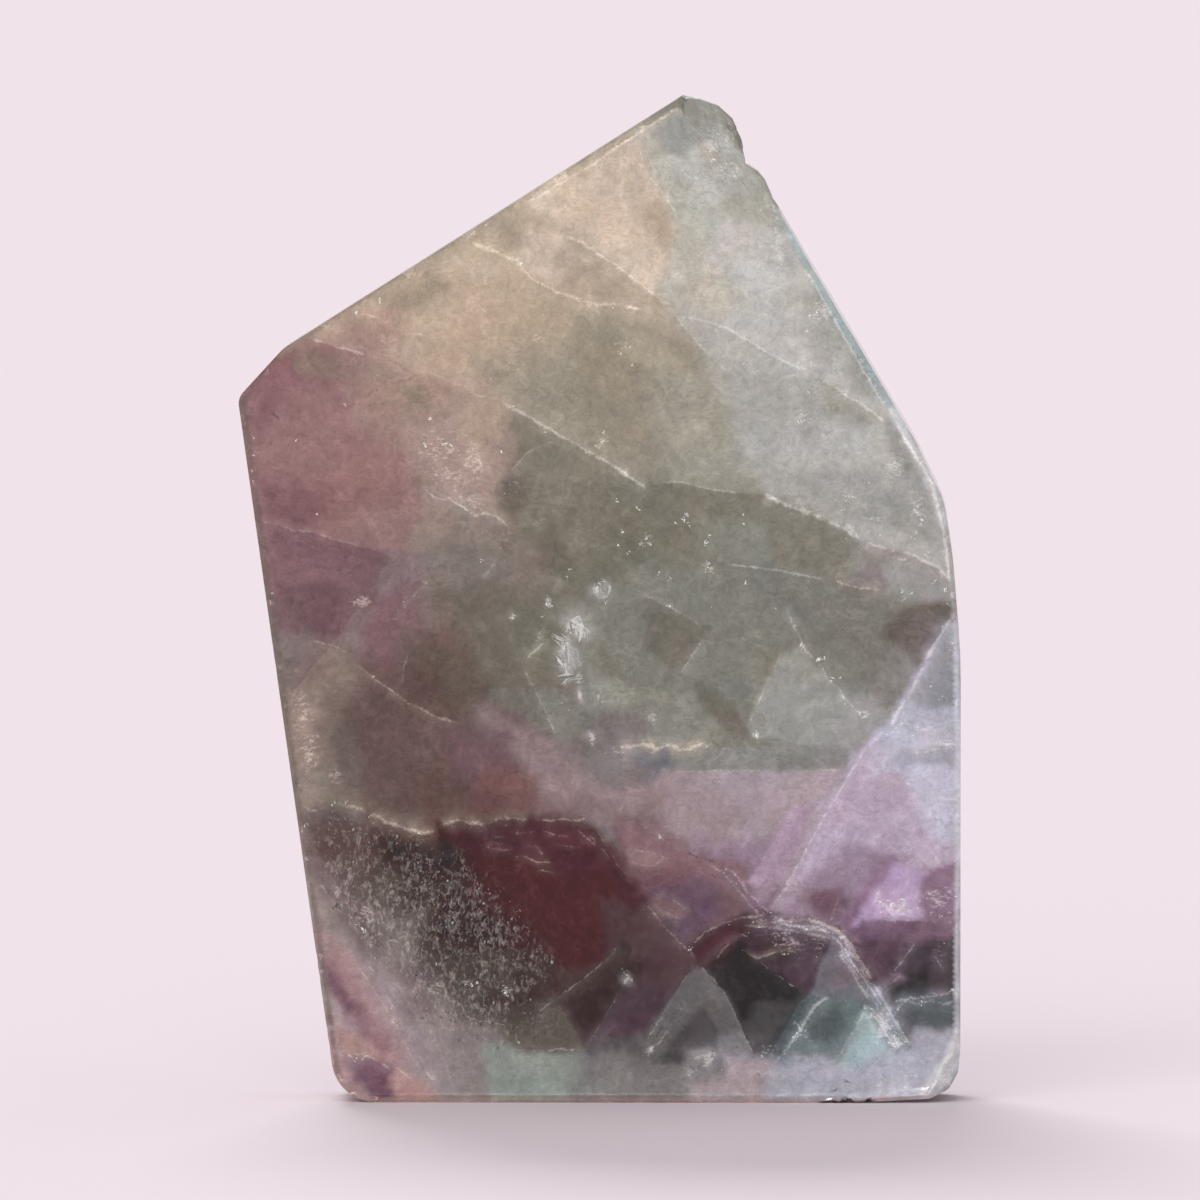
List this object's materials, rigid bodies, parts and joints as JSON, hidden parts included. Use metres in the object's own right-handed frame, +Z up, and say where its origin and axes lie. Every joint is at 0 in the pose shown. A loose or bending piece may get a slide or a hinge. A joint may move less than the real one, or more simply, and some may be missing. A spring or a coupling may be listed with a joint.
{
  "type": "polished fluorite slice",
  "caption": "Five-sided polished slice of banded fluorite with a bevelled rim and a cleaved corner, standing on its sawn foot.",
  "frame": {"origin": "under the middle of the slice's bounding box, on the plane that the sawn foot stands on", "axes": "+X along the foot to the right as the broad polished face is seen, +Z up the slice, +Y through its thickness, away from the viewer of that face"},
  "size_m": [0.0688, 0.014, 0.096],
  "materials": {
    "polished_fluorite": "polished"
  },
  "bodies": {
    "root": {"fluorite_slice": "polished_fluorite"}
  },
  "joints": []
}
